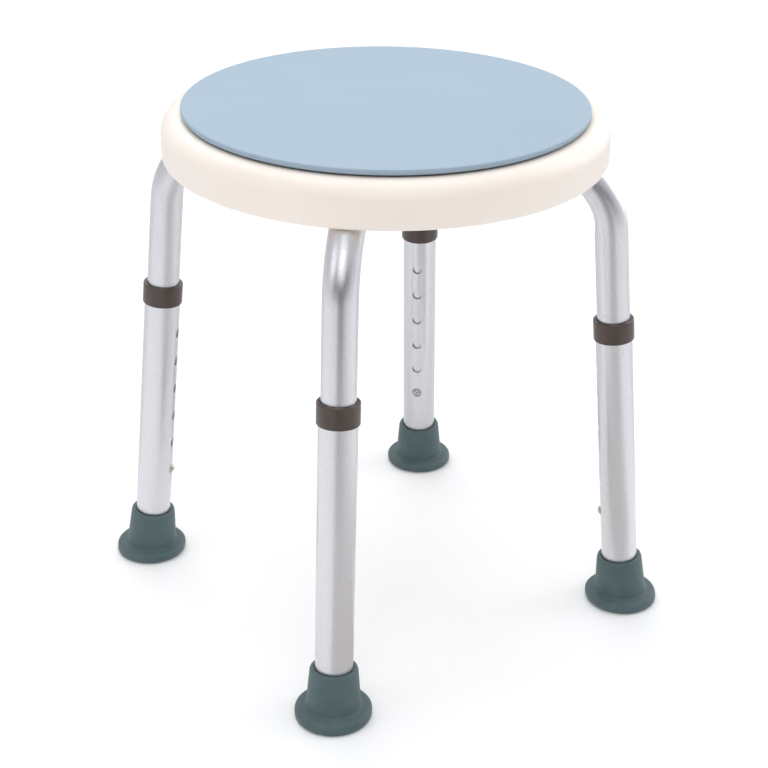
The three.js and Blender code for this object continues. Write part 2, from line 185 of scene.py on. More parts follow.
@dataclass
class Shape:
    """Points in millimetres and the faces between them."""

    points: list[Vector] = field(default_factory=list)
    faces: list[tuple[int, ...]] = field(default_factory=list)

    def add(self, other: "Shape") -> "Shape":
        """Takes in another shape and returns itself.

        Args:
            other: The shape whose points and faces are added.

        Returns:
            This shape.
        """
        start = len(self.points)
        self.points += other.points
        self.faces += [tuple(start + i for i in face) for face in other.faces]
        return self

    def moved(self, matrix: Matrix) -> "Shape":
        """The same shape moved by a matrix whose lengths are millimetres."""
        return Shape([matrix @ point for point in self.points], list(self.faces))

    def bent(self, bend: Callable[[Vector], Vector]) -> "Shape":
        """The same shape with a function applied to each point."""
        return Shape([bend(point) for point in self.points], list(self.faces))

    def bridge(self, loops: Sequence[Sequence[int]]) -> None:
        """Adds the faces between each loop of points and the next one.

        Args:
            loops: Numbers of the points in each loop, all equally many.
        """
        for low, high in zip(loops, loops[1:], strict=False):
            for i in range(len(low)):
                after = (i + 1) % len(low)
                self.faces.append((low[i], low[after], high[after], high[i]))

    @staticmethod
    def turned(outline: Sequence[Pair], segments: int, closed: bool = False) -> "Shape":
        """Turns an outline about +Z.

        Args:
            outline: Radius and height of each point. Points on the axis become one point.
            segments: Steps round the axis.
            closed: Whether the last point joins the first, for a ring.

        Returns:
            The turned shape.
        """
        shape = Shape()
        rings: list[list[int]] = []
        for radius, height in outline:
            count = 1 if radius < NIL else segments
            rings.append(list(range(len(shape.points), len(shape.points) + count)))
            for i in range(count):
                angle = 2 * math.pi * i / segments
                x, y = radius * math.cos(angle), radius * math.sin(angle)
                shape.points.append(Vector((x, y, height)))
        pairs = list(zip(rings, rings[1:], strict=False))
        if closed:
            pairs.append((rings[-1], rings[0]))
        for low, high in pairs:
            for i in range(segments):
                corners = (
                    low[i % len(low)],
                    low[(i + 1) % len(low)],
                    high[(i + 1) % len(high)],
                    high[i % len(high)],
                )
                unique = tuple(dict.fromkeys(corners))
                if len(unique) > 2:
                    shape.faces.append(unique)
        return shape

    @staticmethod
    def lofted(rings: Sequence[Sequence[Vector]]) -> "Shape":
        """Skins rings that hold equal numbers of points, and caps both ends.

        Args:
            rings: The rings, in order.

        Returns:
            The closed shape.
        """
        count = len(rings[0])
        shape = Shape([point for ring in rings for point in ring])
        loops = [range(i * count, (i + 1) * count) for i in range(len(rings))]
        shape.bridge(loops)
        shape.faces += [tuple(reversed(loops[0])), tuple(loops[-1])]
        return shape

    def made(self, name: str, crease: float = CREASE) -> bpy.types.Object:
        """Makes the object, smooth but for its sharp edges.

        Args:
            name: The piece's name.
            crease: The least angle between faces, in degrees, that stays a sharp edge.

        Returns:
            The object.
        """
        mesh = bpy.data.meshes.new(name)
        work = bmesh.new()
        points = [work.verts.new(point * MM) for point in self.points]
        for face in self.faces:
            work.faces.new([points[i] for i in face]).smooth = True
        bmesh.ops.recalc_face_normals(work, faces=work.faces)
        for edge in work.edges:
            edge.smooth = edge.calc_face_angle(0.0) < math.radians(crease)
        work.to_mesh(mesh)
        work.free()
        made = bpy.data.objects.new(name, mesh)
        bpy.context.scene.collection.objects.link(made)
        return made


@dataclass
class TubeWall:
    """A drawn tube's wall: two skins, rounded ends and a row of drilled holes.

    The holes are on the side where the angle round the tube is 0. Each hole's patch is half
    rows and columns to each side, and its grid fades into the round hole by the fades.
    """

    place: Callable[[float, float, float], Vector]
    start: float
    end: float
    radius: float
    wall: float
    holes: Sequence[float]
    hole_radius: float
    stations: Sequence[float]
    columns: int = 64
    half: int = 4
    edge: float = 0.3
    fades: tuple[float, ...] = (0.6, 0.25, 0.0)

    def rows(self) -> tuple[list[float], dict[int, float]]:
        """The rows of points along the tube.

        Returns:
            The place of each row, and the number of the middle row of each hole.
        """
        step = 2 * math.pi * self.radius / self.columns
        reach = self.half * step
        clear = [s for s in self.stations if all(abs(s - h) > reach + step for h in self.holes)]
        around = [h + k * step for h in self.holes for k in range(-self.half, self.half + 1)]
        ends = [self.start + self.edge, self.start + 3 * self.edge]
        ends += [self.end - 3 * self.edge, self.end - self.edge]
        rows = sorted(set(clear + around + ends))
        return rows, {rows.index(h): h for h in self.holes}

    def shape(self) -> Shape:
        """Builds the wall.

        Returns:
            The closed wall, in the frame of its place function.
        """
        rows, centres = self.rows()
        shape = Shape()
        skins = [self.skin(shape, rows, centres, inset) for inset in (0.0, self.wall)]
        self.join_ends(shape, skins, len(rows))
        for index, centre in centres.items():
            self.drill(shape, skins, index, centre)
        return shape

    def skin(
        self, shape: Shape, rows: list[float], centres: dict[int, float], inset: float
    ) -> Grid:
        """Adds one skin, open where the holes go.

        Args:
            shape: What the skin is added to.
            rows: Places of the rows.
            centres: Middle row of each hole.
            inset: How far the skin lies inside the outside of the tube.

        Returns:
            The point at each row and column.
        """
        grid: Grid = {}

        def inside(row: float, column: float) -> bool:
            """Whether a place in the grid is within a hole's patch."""
            turn = (column + self.columns / 2) % self.columns - self.columns / 2
            return abs(turn) < self.half and any(abs(row - c) < self.half for c in centres)

        for j, along in enumerate(rows):
            for i in range(self.columns):
                if not inside(j, i):
                    grid[j, i] = len(shape.points)
                    shape.points.append(self.place(2 * math.pi * i / self.columns, along, inset))
        for j in range(len(rows) - 1):
            for i in range(self.columns):
                if not inside(j + 0.5, i + 0.5):
                    after = (i + 1) % self.columns
                    face = (grid[j, i], grid[j, after], grid[j + 1, after], grid[j + 1, i])
                    shape.faces.append(face)
        return grid

    def join_ends(self, shape: Shape, skins: list[Grid], count: int) -> None:
        """Rounds both ends of the tube from its outer skin to its inner one.

        Args:
            shape: What the ends are added to.
            skins: The two skins.
            count: How many rows they have.
        """
        third = self.edge / 3
        turns = [(third, third), (self.edge, 0.0)]
        turns += [(self.wall - inset, back) for inset, back in reversed(turns)]
        for row, end, inward in ((0, self.start, 1), (count - 1, self.end, -1)):
            strip = [[skins[0][row, i] for i in range(self.columns)]]
            for inset, back in turns:
                start = len(shape.points)
                for i in range(self.columns):
                    angle = 2 * math.pi * i / self.columns
                    shape.points.append(self.place(angle, end + inward * back, inset))
                strip.append(list(range(start, start + self.columns)))
            strip.append([skins[1][row, i] for i in range(self.columns)])
            shape.bridge(strip)

    def drill(self, shape: Shape, skins: list[Grid], row: int, centre: float) -> None:
        """Fills a hole's patch in both skins and adds the side of the hole.

        Args:
            shape: What the hole is added to.
            skins: The two skins.
            row: The hole's middle row.
            centre: The hole's place along the tube.
        """
        h = self.half
        border = [(h, k) for k in range(h)] + [(k, h) for k in range(h, -h, -1)]
        border += [(-h, k) for k in range(h, -h, -1)] + [(k, -h) for k in range(-h, h)]
        border += [(h, k) for k in range(-h, 0)]
        step = 2 * math.pi / self.columns
        soft = self.edge / 2
        outer = [(0.0, soft, share) for share in self.fades]
        outer += [(soft / 3, soft / 3, 0.0), (soft, 0.0, 0.0)]
        inner = [(self.wall - inset, extra, share) for inset, extra, share in reversed(outer)]
        loops = [[skins[0][row + dj, di % self.columns] for di, dj in border]]
        for inset, extra, share in outer + inner:
            loop = []
            for k, (di, dj) in enumerate(border):
                turn = 2 * math.pi * k / len(border)
                radius = self.hole_radius + extra
                angle = math.asin(radius * math.cos(turn) / (self.radius - inset))
                along = radius * math.sin(turn)
                angle += (di * step - angle) * share
                along += (dj * step * self.radius - along) * share
                loop.append(len(shape.points))
                shape.points.append(self.place(angle, centre + along, inset))
            loops.append(loop)
        loops.append([skins[1][row + dj, di % self.columns] for di, dj in border])
        shape.bridge(loops)


# ---- Finishes ----


@dataclass(frozen=True)
class Finish:
    """What every finish has: a name, a colour and its own nodes."""

    name: str
    colour: str

    def material(self) -> bpy.types.Material:
        """The finish's material, made once.

        Returns:
            The material.
        """
        made = bpy.data.materials.get(self.name)
        if made is None:
            made = bpy.data.materials.new(self.name)
            made.use_nodes = True
            made.node_tree.nodes.clear()
            shader = self.shader(made.node_tree)
            add_node(made.node_tree, "ShaderNodeOutputMaterial", {"Surface": shader.outputs["BSDF"]})
        return made

    def shader(self, tree: Tree) -> Node:
        """Builds the finish's nodes.

        Args:
            tree: The material's node tree.

        Returns:
            The surface shader.
        """
        raise NotImplementedError

    def dress(self, piece: bpy.types.Object) -> None:
        """Gives a piece this finish."""
        piece.data.materials.clear()
        piece.data.materials.append(self.material())


def noise(tree: Tree, size: float, detail: float = 2.0, stretch: float = 1.0) -> Node:
    """A noise of a real size that stays with the piece.

    Args:
        tree: The node tree.
        size: Size of one feature, in millimetres.
        detail: Octaves.
        stretch: How many times longer the features are along the piece's Z.

    Returns:
        The noise node.
    """
    place = add_node(tree, "ShaderNodeTexCoord").outputs["Object"]
    if stretch != 1.0:
        mapping = {"Vector": place, "Scale": (1.0, 1.0, 1 / stretch)}
        place = add_node(tree, "ShaderNodeMapping", mapping).outputs["Vector"]
    settings = {"Vector": place, "Scale": per_metre(size), "Detail": detail, "Roughness": 0.55}
    return add_node(tree, "ShaderNodeTexNoise", settings)


def remapped(tree: Tree, value: Socket, low: float, high: float) -> Socket:
    """A noise's useful middle range spread between two values.

    Args:
        tree: The node tree.
        value: The noise's output.
        low: Result where the noise is low.
        high: Result where it is high.

    Returns:
        The output socket.
    """
    inputs = {"Value": value, "From Min": 0.3, "From Max": 0.7, "To Min": low, "To Max": high}
    return add_node(tree, "ShaderNodeMapRange", inputs).outputs["Result"]


def mixed(tree: Tree, share: Socket, first: str, second: str) -> Socket:
    """A colour between two, by a share that varies over the surface.

    Args:
        tree: The node tree.
        share: How much of the second colour.
        first: sRGB hex.
        second: sRGB hex.

    Returns:
        The colour socket.
    """
    node = add_node(tree, "ShaderNodeMix", data_type="RGBA")
    colours = [socket for socket in node.inputs if socket.type == "RGBA"]
    colours[0].default_value = linear(first)
    colours[1].default_value = linear(second)
    tree.links.new(share, node.inputs["Factor"])
    return next(socket for socket in node.outputs if socket.type == "RGBA")


def relief(
    tree: Tree, pattern: Socket, height: float, strength: float = 1.0, under: Socket | None = None
) -> Socket:
    """A surface's normals as a pattern raises it.

    Args:
        tree: The node tree.
        pattern: The pattern.
        height: How high it stands, in millimetres.
        strength: How much of the relief shows.
        under: Normals of a relief that this one lies on.

    Returns:
        The socket with the normals.
    """
    inputs = {"Height": pattern, "Strength": strength, "Distance": height * MM}
    if under is not None:
        inputs["Normal"] = under
    return add_node(tree, "ShaderNodeBump", inputs).outputs["Normal"]


@dataclass(frozen=True)
class MouldedPlastic(Finish):
    """Injection-moulded plastic, whose gloss and fine grain come from the mould's surface."""

    shade: str = "#FFFFFF"
    roughness: float = 0.4
    grain: float = 0.6
    grain_height: float = 0.01
    flow: float = 60.0
    ior: float = 1.5
    translucency: float = 0.0
    scatter: tuple[float, float, float] = (1.0, 0.85, 0.7)
    scatter_depth: float = 1.5

    def shader(self, tree: Tree) -> Node:
        """Builds spark grain as bump and gloss, and slow colour changes from the melt's flow.

        Args:
            tree: The material's node tree.

        Returns:
            The surface shader.
        """
        flow = noise(tree, self.flow).outputs["Fac"]
        grain = noise(tree, self.grain, 3.0).outputs["Fac"]
        inputs = {
            "Base Color": mixed(tree, remapped(tree, flow, 0.0, 1.0), self.colour, self.shade),
            "Roughness": remapped(tree, grain, self.roughness - 0.04, self.roughness + 0.05),
            "Normal": relief(tree, grain, self.grain_height),
            "IOR": self.ior,
            "Subsurface Weight": self.translucency,
            "Subsurface Radius": self.scatter,
            "Subsurface Scale": self.scatter_depth * MM,
        }
        return add_node(tree, "ShaderNodeBsdfPrincipled", inputs)


@dataclass(frozen=True)
class AnodisedAluminium(Finish):
    """Drawn tube, blasted and clear anodised: a pale satin metal with a fine sparkling grain.

    The blasted pits are about 0.1 mm across, and are drawn as coarse as they need to show.
    """

    shade: str = "#D2D2D5"
    roughness: float = 0.33
    grain: float = 1.15
    grain_height: float = 0.027
    line_width: float = 1.4
    line_stretch: float = 30.0
    cloud: float = 22.0

    def shader(self, tree: Tree) -> Node:
        """Builds the blasted grain as bump and gloss, and faint lines from the drawing die.

        Args:
            tree: The material's node tree.

        Returns:
            The surface shader.
        """
        grain = noise(tree, self.grain, 2.0).outputs["Fac"]
        lines = noise(tree, self.line_width, 2.0, self.line_stretch).outputs["Fac"]
        clouds = noise(tree, self.cloud, 3.0).outputs["Fac"]
        drawn = relief(tree, lines, self.grain_height / 2)
        gloss = {
            0: remapped(tree, grain, self.roughness - 0.05, self.roughness + 0.06),
            1: remapped(tree, clouds, -0.01, 0.015),
        }
        inputs = {
            "Base Color": mixed(tree, remapped(tree, grain, 0.0, 1.0), self.colour, self.shade),
            "Metallic": 1.0,
            "Roughness": add_node(tree, "ShaderNodeMath", gloss, operation="ADD").outputs["Value"],
            "Normal": relief(tree, grain, self.grain_height, under=drawn),
        }
        return add_node(tree, "ShaderNodeBsdfPrincipled", inputs)


@dataclass(frozen=True)
class PlatedSteel(Finish):
    """Pressed or turned steel with bright nickel plate, which shows faint handling marks."""

    roughness: float = 0.16
    marks: float = 1.2
    mark_height: float = 0.006

    def shader(self, tree: Tree) -> Node:
        """Builds fine marks that dull the plate in places.

        Args:
            tree: The material's node tree.

        Returns:
            The surface shader.
        """
        marks = noise(tree, self.marks, 4.0).outputs["Fac"]
        inputs = {
            "Base Color": linear(self.colour),
            "Metallic": 1.0,
            "Roughness": remapped(tree, marks, self.roughness, self.roughness + 0.16),
            "Normal": relief(tree, marks, self.mark_height),
        }
        return add_node(tree, "ShaderNodeBsdfPrincipled", inputs)


@dataclass(frozen=True)
class MouldedRubber(Finish):
    """Compression-moulded rubber: matte and soft edged, with a dusty bloom in soft clouds."""

    bloom: str = "#7E9396"
    roughness: float = 0.62
    pit: float = 0.8
    pit_height: float = 0.03
    cloud: float = 14.0

    def shader(self, tree: Tree) -> Node:
        """Builds the skin's fine pits and cloudy bloom.

        Args:
            tree: The material's node tree.

        Returns:
            The surface shader.
        """
        pits = noise(tree, self.pit, 3.0).outputs["Fac"]
        clouds = noise(tree, self.cloud, 4.0).outputs["Fac"]
        inputs = {
            "Base Color": mixed(tree, remapped(tree, clouds, 0.0, 0.16), self.colour, self.bloom),
            "Roughness": remapped(tree, clouds, self.roughness - 0.06, self.roughness + 0.08),
            "Normal": relief(tree, pits, self.pit_height),
            "IOR": 1.52,
            "Sheen Weight": 0.12,
            "Sheen Roughness": 0.5,
        }
        return add_node(tree, "ShaderNodeBsdfPrincipled", inputs)


# ABS from a fine spark-eroded mould: matte, so the disc shows only a broad soft sheen.
MATTE_ABS = MouldedPlastic(
    "matte_moulded_ABS",
    "#9DB1C1",
    shade="#99AEBE",
    roughness=0.56,
    grain=0.7,
    grain_height=0.014,
    flow=90.0,
)
# HDPE from a polished mould: satin, with warm translucent edges.
SATIN_HDPE = MouldedPlastic(
    "satin_moulded_HDPE",
    "#F8EDE3",
    shade="#F5EADF",
    roughness=0.36,
    grain=1.6,
    grain_height=0.01,
    flow=70.0,
    ior=1.54,
    translucency=0.12,
)
# Nylon from a plain mould: semi-gloss, so the dark collars show a crisp line of light.
DARK_NYLON = MouldedPlastic(
    "moulded_nylon",
    "#41332C",
    shade="#493A33",
    roughness=0.31,
    grain=0.8,
    grain_height=0.012,
    flow=18.0,
    ior=1.53,
)
# Acetal is slippery and milky, and it is only seen inside the seat.
WHITE_ACETAL = MouldedPlastic("moulded_acetal", "#EDECE6", shade="#E6E4DC", roughness=0.3, ior=1.48)
# Blasted and anodised tube is pale with soft lines of light along it, and sparkles up close.
SATIN_TUBE = AnodisedAluminium("clear_anodised_aluminium", "#DDDDE0")
# Bright nickel throws small sharp highlights from the button domes and screw heads.
BRIGHT_NICKEL = PlatedSteel("nickel_plated_steel", "#B9B6B2")
# Spring strip is rolled and left bare, so it is duller and darker.
SPRING_STRIP = PlatedSteel("rolled_spring_steel", "#8E8C88", roughness=0.3)
# Rubber is matte, with a pale dusty bloom that keeps the feet from looking like plastic.
GREY_RUBBER = MouldedRubber("compression_moulded_rubber", "#42585A")


def settle(piece: bpy.types.Object, finish: Finish, slot: Slot, body: str, node: str) -> None:
    """Dresses a new piece, puts it on its body and lets it stand for a CAD node.

    Args:
        piece: The piece, in place.
        finish: Its finish.
        slot: The piece's material slot. Not used.
        body: The body it rides on.
        node: The CAD node it replaces.
    """
    finish.dress(piece)
    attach(piece, body)
    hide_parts(node)
    log.info("%s: %d faces, on %s", piece.name, len(piece.data.polygons), body)


def keep(name: str, finish: Finish) -> None:
    """Gives a CAD node that stays in view its finish."""
    finish.dress(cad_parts[name])
    log.info("%s: the CAD solid, in %s", name, finish.name)


# ---- Sub-assemblies ----


@dataclass(frozen=True)
class Sizes:
    """The sizes that several sub-assemblies share, and what follows from them.

    Heights are from the floor. Lengths on a leg run up its centre line, from the floor too.
    """

    height: float = 405.0
    seat_radius: float = 165.0
    bare_shoulder: float = 15.0
    splay: float = math.radians(5.1)
    overhang: float = 5.2
    gap: float = 0.3
    disc_plate: float = 3.0
    disc_rim: float = 4.5
    shadow_gap: float = 1.2
    glide_inset: float = 36.0
    glide_groove: float = 0.8
    recess: float = 2.1
    seat_plate: float = 3.2
    boss_height: float = 9.0
    spigot_radius: float = 8.0
    pivot_radius: float = 2.5
    tube_radius: float = 12.5
    tube_wall: float = 1.2
    bend_radius: float = 60.0
    screw_inset: float = 24.0
    washer: float = 1.2
    lowest_hole: float = 80.5
    hole_radius: float = 4.0

    @property
    def disc_radius(self) -> float:
        """Radius of the disc."""
        return self.seat_radius - self.bare_shoulder

    @property
    def glide_radius(self) -> float:
        """Radius of the middle of the glide ring."""
        return self.disc_radius - self.glide_inset

    @property
    def pivot_hole_top(self) -> float:
        """Height at which the screw's hole in the disc ends, inside its plate."""
        return self.height - self.disc_plate * 3 / 4

    @property
    def seat_top(self) -> float:
        """Height of the seat's shoulder."""
        return self.height - self.disc_rim - self.shadow_gap

    @property
    def seat_floor(self) -> float:
        """Height of the recess under the disc."""
        return self.seat_top - self.recess

    @property
    def seat_under(self) -> float:
        """Height of the underside of the seat's plate."""
        return self.seat_floor - self.seat_plate

    @property
    def spigot_bottom(self) -> float:
        """Height of the bottom of the disc's spigot."""
        return self.seat_under - self.gap

    @property
    def arm_height(self) -> float:
        """Height of the frame tubes' centre lines under the seat."""
        return self.seat_under - self.boss_height - self.tube_radius

    @property
    def bend_start(self) -> float:
        """Length on a leg at which the frame tube starts to bend."""
        rise = self.arm_height - self.bend_radius * (1 - math.sin(self.splay))
        return rise / math.cos(self.splay)

    @property
    def leg_top(self) -> float:
        """How far out a leg's centre line is where the bend starts."""
        return self.seat_radius + self.overhang

    @property
    def foot_radius(self) -> float:
        """How far out the middle of a foot is."""
        return self.leg_top + self.bend_start * math.sin(self.splay)

    @property
    def bend_centre(self) -> float:
        """How far out the centre of a bend is."""
        return self.leg_top - self.bend_radius * math.cos(self.splay)

    @property
    def screw_place(self) -> float:
        """How far out the seat screws are."""
        return self.bend_centre - self.screw_inset

    @property
    def leg_radius(self) -> float:
        """Radius of a leg tube, which slides on a frame tube."""
        return self.tube_radius + self.gap + self.tube_wall

    def leg_frame(self, azimuth: float) -> Matrix:
        """A frame at the middle of a foot, with +Z up the leg and +X outwards.

        Args:
            azimuth: The leg's direction, in radians.

        Returns:
            The frame, in millimetres.
        """
        out = Matrix.Translation((self.foot_radius, 0, 0))
        lean = Matrix.Rotation(-self.splay, 4, "Y")
        return Matrix.Rotation(azimuth, 4, "Z") @ out @ lean


SIZES = Sizes()


@dataclass
class SwivelDisc:
    """The thin disc that turns on the seat, and the ring that it glides on."""

    sizes: Sizes = SIZES
    rim_width: float = 5.0
    edge: float = 1.2
    under_edge: float = 2.2
    spigot_edge: float = 0.6
    runner_width: float = 5.0
    glide_thickness: float = 1.9
    top_rings: tuple[float, ...] = (0.97, 0.85, 0.6, 0.3)

    def outline(self) -> list[Pair]:
        """Half of the disc's section, from the screw hole round to the middle of its top.

        Returns:
            The radius and height of each point.
        """
        size = self.sizes
        top, radius, spigot = size.height, size.disc_radius, size.spigot_radius
        under = top - size.disc_plate
        rim = top - size.disc_rim
        inner = radius - self.rim_width
        edge, turn_in, low = self.edge, self.under_edge, self.spigot_edge
        screw_hole = size.pivot_radius + size.gap
        runner_in = size.glide_radius - self.runner_width / 2
        runner_out = size.glide_radius + self.runner_width / 2
        runner_bottom = size.seat_floor - size.glide_groove + self.glide_thickness + 2 * size.gap
        return [
            (0.0, size.pivot_hole_top),
            (screw_hole, size.pivot_hole_top),
            (screw_hole, size.spigot_bottom),
            *arc((spigot - low, size.spigot_bottom + low), low, -90, 0, 4),
            (spigot, under),
            (runner_in, under),
            (runner_in, runner_bottom),
            (runner_out, runner_bottom),
            (runner_out, under),
            (inner, under),
            (inner, rim),
            *arc((radius - turn_in, rim + turn_in), turn_in, -90, 0, 8),
            *arc((radius - edge, top - edge), edge, 0, 90, 8),
            *((radius * share, top) for share in self.top_rings),
            (0.0, top),
        ]

    def build(self) -> None:
        """Builds and dresses the disc."""
        disc = Shape.turned(self.outline(), 192).made("turning_disc")
        settle(disc, MATTE_ABS, Slot.DISC, "disc", "swivel_disc")
        keep("glide_ring", WHITE_ACETAL)


@dataclass
class Seat:
    """The moulded seat: a shell with a broad round shoulder, ribs and four screw bosses."""

    sizes: Sizes = SIZES
    depth: float = 32.6
    wall: float = 4.5
    recess_ledge: float = 3.5
    shoulder_flat: float = 1.0
    shoulder_height: float = 13.0
    rim_round: float = 4.0
    lip_round: float = 0.5
    corner: float = 10.0
    glide_width: float = 8.0
    rib_thickness: float = 2.4
    rib_draft: float = 0.35
    rib_depth: float = 12.0
    rib_round: float = 0.4
    inner_rib: float = 52.0
    outer_rib_inset: float = 42.0
    rib_steps: int = 480
    spokes: int = 8
    boss_length: float = 30.0
    boss_wall: float = 3.5
    boss_grip: float = 2.0
    boss_round: float = 1.5

    @property
    def rim(self) -> float:
        """Height of the bottom of the rim."""
        return self.sizes.seat_top - self.depth

    @property
    def sunk(self) -> float:
        """Height inside the plate at which the ribs and bosses end."""
        return self.sizes.seat_under + self.sizes.seat_plate / 2

    @property
    def arm_room(self) -> float:
        """Radius of the room round an arm of a frame tube."""
        return self.sizes.tube_radius + self.sizes.gap

    def outline(self) -> list[Pair]:
        """The shell's section, from the inside of its rim up over the shoulder and back.

        Returns:
            The radius and height of each point.
        """
        size = self.sizes
        radius, top, floor, under = size.seat_radius, size.seat_top, size.seat_floor, size.seat_under
        inside = radius - self.wall
        recess = size.disc_radius - self.recess_ledge
        shoulder = size.disc_radius + self.shoulder_flat
        low = top - self.shoulder_height
        corner = (inside - self.corner, under - self.corner)
        groove = floor - size.glide_groove
        glide_half = self.glide_width / 2 + size.gap
        spigot_hole = size.spigot_radius + 2 * size.gap
        soft, bottom = self.lip_round, self.rim_round
        return [
            *arc((inside + soft, self.rim + soft), soft, 180, 270, 3),
            *arc((radius - bottom, self.rim + bottom), bottom, -90, 0, 10),
            *arc((shoulder, low), (radius - shoulder, self.shoulder_height), 0, 90, 24),
            *arc((recess + soft, top - soft), soft, 90, 180, 3),
            (recess, floor),
            (size.glide_radius + glide_half, floor),
            (size.glide_radius + glide_half, groove),
            (size.glide_radius - glide_half, groove),
            (size.glide_radius - glide_half, floor),
            (spigot_hole, floor),
            (spigot_hole, under),
            *arc(corner, self.corner, 90, 0, 12),
        ]

    def rib_section(self, low: float) -> list[Pair]:
        """A rib's section about its middle, tapered for the mould and open at the plate.

        Args:
            low: Height of the rib's bottom.

        Returns:
            The distance from the middle and the height of each point.
        """
        half = self.rib_thickness / 2
        tip = half - self.rib_draft
        soft = self.rib_round
        left = [(-half, self.sunk), (-tip, low + soft), (soft - tip, low)]
        return left + [(-across, height) for across, height in reversed(left)]

    def tube_top(self, x: float, y: float) -> float:
        """Height of the room that an arm along +X takes, above a point.

        Args:
            x: Distance from the middle, along the arm.
            y: Distance from the arm's centre line.

        Returns:
            The height, or one below every rib where the arm isn't there.
        """
        size = self.sizes
        if abs(y) >= self.arm_room or x < 0:
            return self.rim
        reach = math.sqrt(self.arm_room**2 - y**2)
        if x <= size.bend_centre:
            return size.arm_height + reach
        across = (size.bend_radius + reach) ** 2 - (x - size.bend_centre) ** 2
        return size.arm_height - size.bend_radius + math.sqrt(max(across, 0.0))

    def rib_bottom(self, point: Vector) -> float:
        """Height of the bottom of a rib at a point, notched over the arms.

        Args:
            point: A point in plan.

        Returns:
            The height.
        """
        bottom = self.sizes.seat_under - self.rib_depth
        for corner in Corner:
            local = Matrix.Rotation(-corner.azimuth, 3, "Z") @ point
            bottom = max(bottom, self.tube_top(local.x, local.y))
        return bottom

    def ring_rib(self, radius: float) -> Shape:
        """A ring rib under the plate, notched for the arms.

        Args:
            radius: Radius of its middle.

        Returns:
            The rib.
        """
        shape = Shape()
        steps = self.rib_steps
        for i in range(steps):
            turn = 2 * math.pi * i / steps
            direction = Vector((math.cos(turn), math.sin(turn), 0))
            section = self.rib_section(self.rib_bottom(direction * radius))
            shape.points += [direction * (radius + r) + Vector((0, 0, z)) for r, z in section]
        count = len(section)
        for i in range(steps):
            for j in range(count):
                here, there, after = i * count, (i + 1) % steps * count, (j + 1) % count
                shape.faces.append((here + j, there + j, there + after, here + after))
        return shape

    def spoke(self, azimuth: float) -> Shape:
        """A straight rib from the inner ring rib to the wall.

        Args:
            azimuth: Its direction, in radians.

        Returns:
            The rib.
        """
        section = self.rib_section(self.sizes.seat_under - self.rib_depth)
        end = self.sizes.seat_radius - self.wall / 2 - self.rim_round
        rings = [[Vector((x, y, z)) for y, z in section] for x in (self.inner_rib, end)]
        return Shape.lofted(rings).moved(Matrix.Rotation(azimuth, 4, "Z"))

    def boss(self, azimuth: float) -> Shape:
        """A block that saddles an arm and takes its screw.

        Args:
            azimuth: The arm's direction, in radians.

        Returns:
            The block.
        """
        size = self.sizes
        low = size.arm_height + self.boss_grip
        wide = self.arm_room + self.boss_wall
        soft = self.boss_round
        turn = math.degrees(math.asin(self.boss_grip / self.arm_room))
        saddle = arc((0.0, size.arm_height), self.arm_room, turn, 180 - turn, 24)
        section = [(-wide + soft, low), (-wide, low + soft), (-wide, self.sunk)]
        section += [(wide, self.sunk), (wide, low + soft), (wide - soft, low), *saddle]
        half = self.boss_length / 2
        ends = (size.screw_place - half, size.screw_place + half)
        rings = [[Vector((x, y, z)) for y, z in section] for x in ends]
        return Shape.lofted(rings).moved(Matrix.Rotation(azimuth, 4, "Z"))

    def build(self) -> None:
        """Builds the shell with all that is moulded under it."""
        shape = Shape.turned(self.outline(), 192, closed=True)
        for radius in (self.inner_rib, self.sizes.seat_radius - self.outer_rib_inset):
            shape.add(self.ring_rib(radius))
        for i in range(self.spokes):
            shape.add(self.spoke((i + 0.5) / self.spokes * 2 * math.pi))
        for corner in Corner:
            shape.add(self.boss(corner.azimuth))
        settle(shape.made("moulded_seat"), SATIN_HDPE, Slot.SEAT, "frame", "seat_base")


